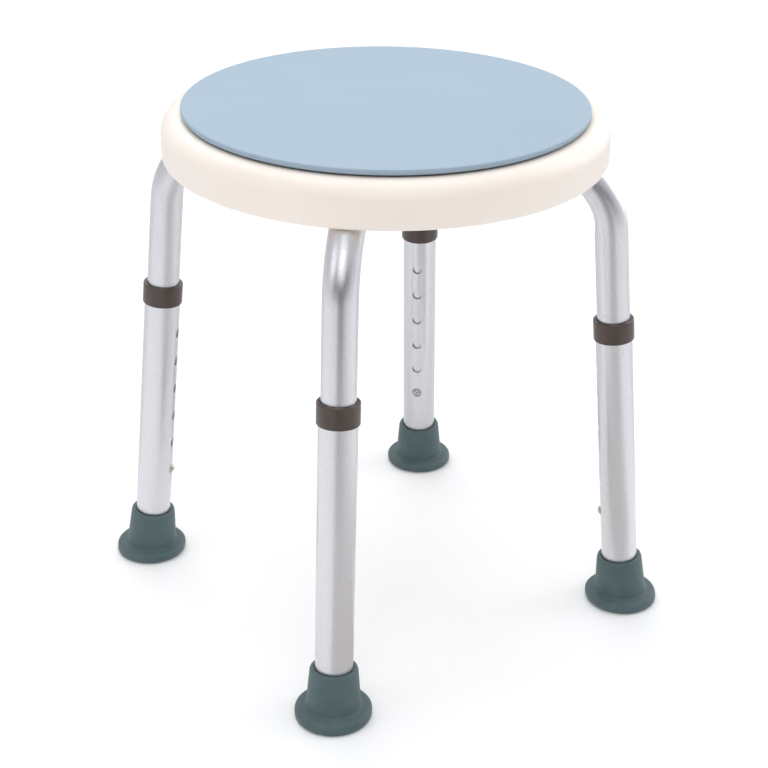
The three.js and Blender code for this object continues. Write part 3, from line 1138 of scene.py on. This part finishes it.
@dataclass
class FrameTube:
    """One of the two bent tubes, from one lower end over both bends to the other.

    The insides of its bends are crushed flat, and it is pressed flat where it crosses the other.
    """

    level: Level
    azimuth: float
    name: str
    sizes: Sizes = SIZES
    below_button: float = 22.0
    crush: float = 1.7
    crush_overrun: float = 7.0
    crush_ramp: float = 0.22
    ripple: float = 0.16
    ripple_pitch: float = 9.0
    pressed_half: float = 5.6
    pressed_spill: float = 1.6
    pressed_taper: float = 24.0
    plain_step: float = 8.0
    bend_step: float = 1.5
    bend_margin: float = 9.0
    arm_spans: int = 7
    taper_spans: int = 14

    @property
    def lower_end(self) -> float:
        """Length on the leg at which the tube ends."""
        return self.sizes.lowest_hole - self.below_button

    @property
    def straight(self) -> float:
        """Length from the lower end to the bend."""
        return self.sizes.bend_start - self.lower_end

    @property
    def bend(self) -> float:
        """Length round a bend, on the centre line."""
        return self.sizes.bend_radius * (math.pi / 2 - self.sizes.splay)

    @property
    def half_length(self) -> float:
        """Length from the lower end to the middle of the stool."""
        return self.straight + self.bend + self.sizes.bend_centre

    @property
    def spread(self) -> float:
        """How far the side of the tube moves out as it is pressed, with its outline kept."""
        return (self.sizes.tube_radius - self.pressed_half) * math.pi / 2

    @property
    def pressed_reach(self) -> float:
        """Length from the middle of the stool to the end of the pressed flat."""
        return self.spread + self.pressed_half + self.pressed_spill

    def spine(self, along: float) -> tuple[Vector, Vector]:
        """The centre line in the plane of the tube.

        Args:
            along: Distance from the lower end at +X.

        Returns:
            The place, and the direction that faces out of the bend.
        """
        if along > self.half_length:
            place, out = self.spine(2 * self.half_length - along)
            return Vector((-place.x, 0, place.z)), Vector((-out.x, 0, out.z))
        size = self.sizes
        splay = size.splay
        if along < self.straight:
            up = self.lower_end + along
            x = size.foot_radius - up * math.sin(splay)
            return Vector((x, 0, up * math.cos(splay))), Vector((math.cos(splay), 0, math.sin(splay)))
        turned = min(along - self.straight, self.bend) / self.bend
        angle = splay + (math.pi / 2 - splay) * turned
        out = Vector((math.cos(angle), 0, math.sin(angle)))
        place = out * size.bend_radius
        place += Vector((size.bend_centre, 0, size.arm_height - size.bend_radius))
        place.x -= max(along - self.straight - self.bend, 0.0)
        return place, out

    def crushed(self, along: float) -> float:
        """How deep the inside of the bend is crushed at a distance along the tube.

        Args:
            along: Distance from the lower end.

        Returns:
            The depth.
        """
        near = min(along, 2 * self.half_length - along) - self.straight
        ramp, overrun = self.crush_ramp * self.bend, self.crush_overrun
        lower = smoothstep(near, -overrun, ramp)
        upper = 1 - smoothstep(near, self.bend - ramp, self.bend + overrun)
        wave = self.ripple * math.cos(2 * math.pi * near / self.ripple_pitch)
        return (self.crush + wave) * lower * upper

    def place(self, angle: float, along: float, inset: float) -> Vector:
        """A point of the tube's wall.

        Args:
            angle: Angle round the tube, from the inside of the bend.
            along: Distance from the lower end.
            inset: Depth below the outside.

        Returns:
            The point, in the plane of the tube turned to its own azimuth.
        """
        spine, out = self.spine(along)
        distance = abs(self.half_length - along) - self.pressed_reach
        press = 1 - smoothstep(distance, 0.0, self.pressed_taper)
        radius = self.sizes.tube_radius - inset
        height = radius + (self.pressed_half - inset - radius) * press
        side = math.sin(angle)
        flat = self.spread * press
        across = height * side + (math.copysign(flat, side) if abs(side) > NIL else 0.0)
        inward = height * math.cos(angle)
        depth = self.crushed(along)
        if depth > 0.0:
            limit = radius - depth
            soft = min(depth, 1.0) / 2
            inward = (inward + limit - math.hypot(inward - limit, soft)) / 2
        lift = self.level.value * (self.sizes.gap + self.pressed_half) * press
        point = spine + out * (lift - inward) + Vector((0, across, 0))
        return Matrix.Rotation(self.azimuth, 3, "Z") @ point

    def stations(self) -> list[float]:
        """Rows along the tube, closest together where it bends and where it is pressed.

        Returns:
            Each row's distance from the lower end.
        """
        middle = self.half_length
        start = self.straight - self.bend_margin
        length = self.bend + 2 * self.bend_margin
        steps = int(length / self.bend_step)
        half = [self.plain_step * i for i in range(1, int(start / self.plain_step))]
        half += [start + length * i / steps for i in range(steps + 1)]
        last = half[-1]
        flat = middle - self.pressed_reach - self.pressed_taper
        half += [last + (flat - last) * i / self.arm_spans for i in range(1, self.arm_spans)]
        spans = self.taper_spans
        half += [flat + self.pressed_taper * i / spans for i in range(spans + 1)]
        half += [middle - self.pressed_reach / 2, middle]
        return sorted({*half, *(2 * middle - s for s in half)})

    def build(self) -> None:
        """Builds and dresses the tube."""
        hole = self.below_button
        wall = TubeWall(
            place=self.place,
            start=0.0,
            end=2 * self.half_length,
            radius=self.sizes.tube_radius,
            wall=self.sizes.tube_wall,
            holes=(hole, 2 * self.half_length - hole),
            hole_radius=self.sizes.hole_radius,
            stations=self.stations(),
        )
        piece = wall.shape().made("bent_" + self.name, TUBE_CREASE)
        settle(piece, SATIN_TUBE, Slot.TUBE, "frame", self.name)


@dataclass
class LowerLeg:
    """A lower leg: the drilled tube, its collar, its rubber foot, its button and its clip."""

    corner: Corner
    sizes: Sizes = SIZES
    length: float = 237.0
    hole_pitch: float = 25.0
    hole_count: int = 6
    rows: int = 24
    collar_length: float = 16.3
    collar_wall: float = 1.2
    collar_lip: float = 1.8
    collar_round: float = 0.9
    flange_radius: float = 28.5
    flange_height: float = 8.5
    flange_round: float = 3.0
    neck: float = 20.2
    neck_round: float = 2.4
    rim_height: float = 40.0
    rim_wall: float = 3.3
    rim_round: float = 1.5
    rim_draft: float = 0.35
    mouth_round: float = 0.8
    sole: float = 7.0
    sole_bevel: float = 1.0
    tread_radii: tuple[float, ...] = (12.0, 19.0)
    tread_depth: float = 0.9
    tread_half: float = 1.0
    tread_bottom_half: float = 0.6
    button_radius: float = 3.7
    button_reach: float = 2.2
    button_dome: float = 2.8
    button_seat: float = 2.4
    button_flange: float = 1.1
    button_flange_thickness: float = 0.9
    clip_length: float = 34.0
    clip_thickness: float = 0.6
    clip_width: float = 9.0
    clip_bend: float = 3.0
    clip_keep: float = 0.75

    @property
    def label(self) -> str:
        """The leg's name in the frame."""
        return self.corner.label

    @property
    def body(self) -> str:
        """The body that the leg's pieces ride on."""
        return "leg_" + self.label

    @property
    def matrix(self) -> Matrix:
        """The leg's own frame."""
        return self.sizes.leg_frame(self.corner.azimuth)

    @property
    def bottom(self) -> float:
        """Where the leg tube starts, on the washer in its foot."""
        return self.sole + self.sizes.washer + 2 * self.sizes.gap

    @property
    def top(self) -> float:
        """Where the leg tube ends."""
        return self.bottom + self.length

    @property
    def bore(self) -> float:
        """Inner radius of the frame tube that the button and its clip are in."""
        return self.sizes.tube_radius - self.sizes.tube_wall

    def place(self, angle: float, along: float, inset: float) -> Vector:
        """A point of the leg tube's wall, from the side that faces the middle of the stool."""
        radius = self.sizes.leg_radius - inset
        return Vector((-radius * math.cos(angle), radius * math.sin(angle), along))

    def tube(self) -> None:
        """Builds the drilled leg tube."""
        size = self.sizes
        wall = TubeWall(
            place=self.place,
            start=self.bottom,
            end=self.top,
            radius=size.leg_radius,
            wall=size.tube_wall,
            holes=[size.lowest_hole + self.hole_pitch * i for i in range(self.hole_count)],
            hole_radius=size.hole_radius,
            stations=[self.bottom + self.length * i / self.rows for i in range(1, self.rows)],
        )
        piece = wall.shape().moved(self.matrix).made("drilled_leg_tube_" + self.label, TUBE_CREASE)
        settle(piece, SATIN_TUBE, Slot.TUBE, self.body, "leg_tube_" + self.label)

    def collar(self) -> None:
        """Builds the collar over the end of the leg tube."""
        inner = self.sizes.leg_radius + self.sizes.gap
        outer = inner + self.collar_wall
        throat = self.sizes.leg_radius - self.sizes.tube_wall
        ledge = self.top + self.sizes.gap
        top = ledge + self.collar_lip
        bottom = top - self.collar_length
        low, high = self.collar_round / 2, self.collar_round
        outline = [
            (inner, bottom),
            *arc((outer - low, bottom + low), low, -90, 0, 4),
            (outer, bottom + self.collar_length / 2),
            *arc((outer - high, top - high), high, 0, 90, 8),
            (throat + low, top),
            *arc((throat + low, top - low), low, 90, 180, 3),
            (throat, ledge),
            (inner, ledge),
        ]
        shape = Shape.turned(outline, 96, closed=True).moved(self.matrix)
        piece = shape.made("round_collar_" + self.label)
        settle(piece, DARK_NYLON, Slot.COLLAR, self.body, "collar_" + self.label)

    def foot_outline(self) -> list[Pair]:
        """The foot's section, from the middle of its sole out and up to the floor of its socket.

        Returns:
            The radius and height of each point.
        """
        socket = self.sizes.leg_radius + self.sizes.gap
        rim = socket + self.rim_wall
        edge = self.flange_radius - self.flange_round
        high = self.flange_height - self.flange_round
        wide, narrow, groove = self.tread_half, self.tread_bottom_half, self.tread_depth
        tread = ((-wide, 0.0), (-narrow, groove), (narrow, groove), (wide, 0.0))
        neck = (self.neck + self.neck_round, self.flange_height + self.neck_round + 0.2)
        lip, mouth = self.rim_round, self.mouth_round
        return [
            (0.0, 0.0),
            *((radius + across, up) for radius in self.tread_radii for across, up in tread),
            (edge - self.sole_bevel, 0.0),
            *arc((edge, self.flange_round), self.flange_round, -72, 0, 8),
            *arc((edge, high), self.flange_round, 0, 84, 10),
            *arc(neck, self.neck_round, -90, -174, 8),
            (rim + self.rim_draft, self.rim_height - self.neck_round),
            *arc((rim - lip, self.rim_height - lip), lip, 10, 90, 8),
            *arc((socket + mouth, self.rim_height - mouth), mouth, 90, 180, 5),
            (socket, self.sole + 1.0),
            (socket, self.sole),
            (0.0, self.sole),
        ]

    def settled(self, point: Vector) -> Vector:
        """Moves a point of the upright foot so that its flange is level and its socket leans.

        Args:
            point: The point, in a foot that stands straight on the leg.

        Returns:
            The point, in the leg's own frame.
        """
        size = self.sizes
        in_socket = math.hypot(point.x, point.y) < size.leg_radius + 2 * size.gap
        if in_socket and point.z > self.sole / 2:
            return point
        level = Matrix.Rotation(size.splay, 3, "Y") @ Vector((point.x, point.y, 0))
        level.z += point.z / math.cos(size.splay)
        follow = smoothstep(point.z, self.flange_height / 2, self.flange_height * 2)
        return level.lerp(point, follow)

    def foot(self) -> None:
        """Builds the rubber foot."""
        shape = Shape.turned(self.foot_outline(), 96).bent(self.settled).moved(self.matrix)
        piece = shape.made("rubber_foot_" + self.label, FOOT_CREASE)
        settle(piece, GREY_RUBBER, Slot.FOOT, self.body, "foot_" + self.label)

    def button(self) -> None:
        """Builds the domed snap button, which points at the middle of the stool."""
        size = self.sizes
        back = self.bore - self.button_seat
        front = back + self.button_flange_thickness
        tip = size.leg_radius + self.button_reach
        flange = self.button_radius + self.button_flange
        dome = (0.0, tip - self.button_dome)
        outline = [
            (0.0, back),
            (flange, back),
            (flange, front),
            (self.button_radius, front),
            *arc(dome, (self.button_radius, self.button_dome), 0, 84, 14),
            (0.0, tip),
        ]
        turn = Matrix.Rotation(-math.pi / 2, 4, "Y")
        place = self.matrix @ Matrix.Translation((0, 0, size.lowest_hole)) @ turn
        piece = Shape.turned(outline, 48).moved(place).made("domed_button_" + self.label)
        body = "button_" + self.label
        settle(piece, BRIGHT_NICKEL, Slot.FASTENER, body, "snap_button_" + self.label)

    def clip(self) -> None:
        """Builds the V of spring strip that pushes the button out; it is built open, not closing up as
        the button goes in.
        """
        hole, gap = self.sizes.lowest_hole, self.sizes.gap
        half = self.clip_thickness / 2
        near = self.button_seat + gap + half - self.bore
        far = self.bore - 3 * gap - half
        reach = self.button_radius + self.button_flange
        top = arc((0.0, hole + self.clip_length - self.clip_bend), self.clip_bend, 170, 10, 14)
        route = [(near, hole - reach), (near, hole + reach), *top, (far, hole + reach)]
        middles = [Vector((x, 0, z)) for x, z in route]
        side = Vector((0, self.clip_width / 2, 0))
        rings = []
        for i, middle in enumerate(middles):
            along = (middles[min(i + 1, len(middles) - 1)] - middles[max(i - 1, 0)]).normalized()
            across = Vector((along.z, 0, -along.x)) * half
            front, back = middle + across, middle - across
            rings.append([front + side, back + side, back - side, front - side])
        piece = Shape.lofted(rings).moved(self.matrix).made("bent_spring_clip_" + self.label)
        settle(piece, SPRING_STRIP, Slot.SPRING, "frame", "spring_clip_" + self.label)
        out = self.matrix.to_3x3() @ Vector((1, 0, 0))
        wall = (self.matrix @ Vector((far + half, 0, hole))) * MM
        "button_press_" + self.label
        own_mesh(piece)

    def build(self) -> None:
        """Builds the leg and dresses the CAD washer that is hidden inside its foot."""
        self.tube()
        self.collar()
        self.foot()
        self.button()
        self.clip()
        keep("foot_washer_" + self.label, BRIGHT_NICKEL)


@dataclass
class Fasteners:
    """Screws, washers, bolt and nut, which are seen from below."""

    sizes: Sizes = SIZES
    screw_radius: float = 2.1
    washer_radius: float = 12.0
    washer_edge: float = 0.25
    head_share: float = 1.9
    recess_share: float = 0.3

    def screw(self, shank: float, length: float) -> Shape:
        """A pan-head screw about +Z, head down, with a round recess.

        Args:
            shank: Shank radius.
            length: From under the head to the tip.

        Returns:
            The screw.
        """
        head = shank * self.head_share
        flat = head / 2
        recess = head * self.recess_share
        dome = shank * 0.55
        chamfer = 0.15
        outline = [
            (0.0, recess - shank),
            (recess / 2, recess * 0.9 - shank),
            (recess, chamfer / 3 - shank),
            (recess + chamfer, -shank),
            (flat, -shank),
            *arc((flat, dome - shank), (flat, dome), -80, 0, 6),
            (head, 0.0),
            (shank, 0.0),
            (shank, length - shank / 2),
            (shank / 2, length),
            (0.0, length),
        ]
        return Shape.turned(outline, 48)

    def seat_screws(self) -> None:
        """Builds the four screws that hold the tubes to the seat."""
        size = self.sizes
        head_top = size.arm_height - size.tube_radius - size.gap
        length = size.seat_under - 2 * size.gap - head_top
        for corner in Corner:
            place = Matrix.Translation((size.screw_place, 0, head_top))
            turned = Matrix.Rotation(corner.azimuth, 4, "Z") @ place
            name = "seat_screw_" + corner.label
            piece = self.screw(self.screw_radius, length).moved(turned).made("pan_head_" + name)
            settle(piece, BRIGHT_NICKEL, Slot.FASTENER, "frame", name)

    def pivot(self) -> None:
        """Builds the screw and the washer that hold the disc."""
        size = self.sizes
        top = size.spigot_bottom - size.gap
        low = top - size.washer
        head_top = low - size.gap
        pivot = self.screw(size.pivot_radius, size.pivot_hole_top - size.gap - head_top)
        pivot = pivot.moved(Matrix.Translation((0, 0, head_top)))
        settle(pivot.made("pan_head_pivot_screw"), BRIGHT_NICKEL, Slot.FASTENER, "disc", "pivot_screw")
        outer, inner, soft = self.washer_radius, size.pivot_radius + size.gap, self.washer_edge
        outline = [(inner, low), *arc((outer - soft, low + soft), soft, -90, 0, 3)]
        outline += [*arc((outer - soft, top - soft), soft, 0, 90, 3), (inner, top)]
        washer = Shape.turned(outline, 64, closed=True).made("round_pivot_washer")
        settle(washer, BRIGHT_NICKEL, Slot.FASTENER, "disc", "pivot_washer")

    def build(self) -> None:
        """Builds the screws that show, and dresses the bolt with its washer and nut."""
        self.seat_screws()
        self.pivot()
        for name in ("frame_bolt", "frame_washer", "frame_nut"):
            keep(name, BRIGHT_NICKEL)


# ---- Studio ----


@dataclass(frozen=True)
class StudioPaper(Finish):
    """White background paper, whose fine fibres scatter the light evenly.

    Its glow is the light that comes through the paper from behind.
    """

    glow: float = 0.0
    fibre: float = 2.0
    fibre_height: float = 0.02

    def shader(self, tree: Tree) -> Node:
        """Builds the paper's faint fibre relief.

        Args:
            tree: The material's node tree.

        Returns:
            The surface shader.
        """
        fibre = noise(tree, self.fibre, 3.0).outputs["Fac"]
        inputs = {
            "Base Color": linear(self.colour),
            "Roughness": 0.9,
            "Emission Color": linear(self.colour),
            "Emission Strength": self.glow,
            "Normal": relief(tree, fibre, self.fibre_height, strength=0.3),
        }
        return add_node(tree, "ShaderNodeBsdfPrincipled", inputs)


@dataclass
class Softbox:
    """A square area light that faces a point, all in metres.

    One that is only reflected stands for a reflector: it shows in gloss and lights nothing else.
    """

    name: str
    place: tuple[float, float, float]
    aim: tuple[float, float, float]
    size: float
    power: float
    only_reflected: bool = False

    def build(self) -> None:
        """Sets up the light."""
        light = bpy.data.lights.new(self.name, "AREA")
        light.shape = "SQUARE"
        light.size = self.size
        light.energy = self.power
        made = bpy.data.objects.new(self.name, light)
        bpy.context.scene.collection.objects.link(made)
        made.location = self.place
        made.visible_diffuse = not self.only_reflected
        direction = Vector(self.aim) - Vector(self.place)
        made.rotation_mode = "QUATERNION"
        made.rotation_quaternion = direction.to_track_quat("-Z", "Y")


@dataclass
class ReflectionCard:
    """A card on the floor that only shows in gloss, where it gives the tubes their dark lines.

    It runs along the camera's direction from near to far, and stands off to its right by a
    shift, all in metres. Its height above the floor is in millimetres.
    """

    name: str
    colour: str
    near: float
    far: float
    near_half: float
    far_half: float
    shift: float
    height: float

    def build(self, azimuth: float) -> None:
        """Lays the card.

        Args:
            azimuth: The camera's direction, in radians.
        """
        toward = Vector((math.sin(azimuth), -math.cos(azimuth), 0)) / MM
        across = Vector((math.cos(azimuth), math.sin(azimuth), 0)) / MM
        ends = [(self.near, -self.near_half), (self.far, -self.far_half)]
        ends += [(self.far, self.far_half), (self.near, self.near_half)]
        lift = Vector((0, 0, self.height))
        corners = [toward * along + across * (self.shift + side) + lift for along, side in ends]
        card = Shape(corners, [(0, 1, 2, 3)]).made(self.name)
        StudioPaper(self.name + "_paper", self.colour).dress(card)
        for ray in ("camera", "diffuse", "transmission", "shadow"):
            setattr(card, "visible_" + ray, False)


@dataclass
class Studio:
    """The pale floor, the soft lights and the camera.

    Angles are in degrees and lengths in metres, but for the lens and sensor, which are in
    millimetres, as is the drop of the floor below the feet.
    """

    azimuth: float = -35.18
    elevation: float = 26.36
    roll: float = 0.63
    distance: float = 1.3816
    target: tuple[float, float, float] = (-0.0016, -0.0036, 0.176)
    lens: float = 82.15
    sensor: float = 36.0
    floor_half: float = 12.0
    floor_drop: float = 0.2
    ambient: str = "#F4F6FA"
    ambient_strength: float = 0.74
    dark_strength: float = 0.03
    lights: tuple[Softbox, ...] = (
        Softbox("overhead_softbox", (0.0, 0.1, 1.9), (0.0, 0.0, 0.0), 1.6, 9.0),
        Softbox("front_softbox", (-1.25, -1.75, 1.75), (0.0, 0.0, 0.2), 1.7, 10.5),
        Softbox("left_softbox", (-2.2, 0.2, 1.3), (0.0, 0.0, 0.2), 1.2, 4.5),
        Softbox("right_softbox", (2.1, -0.9, 1.3), (0.0, 0.0, 0.2), 1.2, 7.0),
        Softbox("side_reflector", (2.0, 0.2, 1.15), (0.0, 0.0, 0.3), 2.2, 21.0, True),
        Softbox("back_softbox", (0.9, 2.6, 2.4), (0.6, 1.6, 0.0), 2.6, 30.0),
    )
    cards: tuple[ReflectionCard, ...] = (
        ReflectionCard("grey_card_in_front", "#DAD6D3", 0.1, 1.22, 0.2, 0.4, 0.17, 1.0),
        ReflectionCard("dark_card_in_front", "#4E4A46", 1.2, 9.0, 0.36, 3.0, 0.09, 2.0),
        ReflectionCard("grey_card_behind", "#E6E6E6", -2.5, -0.12, 1.5, 1.5, 0.0, 1.0),
    )

    def floor(self) -> None:
        """Lays the paper."""
        half = self.floor_half / MM
        corners = [(-half, -half), (half, -half), (half, half), (-half, half)]
        points = [Vector((x, y, -self.floor_drop)) for x, y in corners]
        paper = Shape(points, [(0, 1, 2, 3)]).made("studio_paper")
        StudioPaper("white_background_paper", "#FAFAFA", glow=0.07).dress(paper)

    def camera(self) -> None:
        """Stands the camera at its place."""
        angles = (self.azimuth, self.elevation, self.roll)
        azimuth, elevation, roll = (math.radians(angle) for angle in angles)
        level = math.cos(elevation)
        back = Vector((math.sin(azimuth) * level, -math.cos(azimuth) * level, math.sin(elevation)))
        right = Vector((math.cos(azimuth), math.sin(azimuth), 0))
        up = back.cross(right)
        across = right * math.cos(roll) + up * math.sin(roll)
        upright = up * math.cos(roll) - right * math.sin(roll)
        data = bpy.data.cameras.new("studio_camera")
        data.lens = self.lens
        data.sensor_width = self.sensor
        camera = bpy.data.objects.new("studio_camera", data)
        bpy.context.scene.collection.objects.link(camera)
        turn = Matrix((across, upright, back)).transposed().to_4x4()
        camera.matrix_world = Matrix.Translation(Vector(self.target) + back * self.distance) @ turn
        bpy.context.scene.camera = camera

    def world(self) -> None:
        """Sets the even light from all round, with the dark of the room behind the camera."""
        world = bpy.data.worlds.new("studio_walls")
        world.use_nodes = True
        tree = world.node_tree
        tree.nodes.clear()
        toward = math.radians(self.azimuth)
        direction = add_node(tree, "ShaderNodeTexCoord").outputs["Generated"]
        camera_side = {0: direction, 1: (math.sin(toward), -math.cos(toward), 0.0)}
        facing = add_node(tree, "ShaderNodeVectorMath", camera_side, operation="DOT_PRODUCT")
        height = add_node(tree, "ShaderNodeSeparateXYZ", {0: direction}).outputs["Z"]
        fades = ((facing.outputs["Value"], 0.3, 0.9), (height, 0.4, 0.2))
        shares = {}
        for i, (value, low, high) in enumerate(fades):
            fade = {"Value": value, "From Min": low, "From Max": high}
            ramp = add_node(tree, "ShaderNodeMapRange", fade, interpolation_type="SMOOTHSTEP")
            shares[i] = ramp.outputs["Result"]
        dark = add_node(tree, "ShaderNodeMath", shares, operation="MULTIPLY").outputs["Value"]
        drop = {0: dark, 1: self.dark_strength - self.ambient_strength, 2: self.ambient_strength}
        strength = add_node(tree, "ShaderNodeMath", drop, operation="MULTIPLY_ADD").outputs["Value"]
        inputs = {"Color": linear(self.ambient), "Strength": strength}
        background = add_node(tree, "ShaderNodeBackground", inputs)
        add_node(tree, "ShaderNodeOutputWorld", {"Surface": background.outputs["Background"]})
        bpy.context.scene.world = world

    def build(self) -> None:
        """Sets up the whole studio, with colours shown as they are lit."""
        self.floor()
        self.camera()
        self.world()
        for light in self.lights:
            light.build()
        for card in self.cards:
            card.build(math.radians(self.azimuth))
        bpy.context.scene.view_settings.view_transform = "Standard"


def main() -> None:
    """Builds the stool and its studio."""
    logging.basicConfig(level=logging.INFO, format="%(name)s %(message)s")
    studio = Studio()
    studio.build()
    SwivelDisc().build()
    Seat().build()
    FrameTube(Level.LOWER, Corner.FRONT_LEFT.azimuth, "frame_tube_lower").build()
    FrameTube(Level.UPPER, Corner.FRONT_RIGHT.azimuth, "frame_tube_upper").build()
    Fasteners().build()
    for corner in Corner:
        LowerLeg(corner).build()


if __name__ == "__main__":
    main()
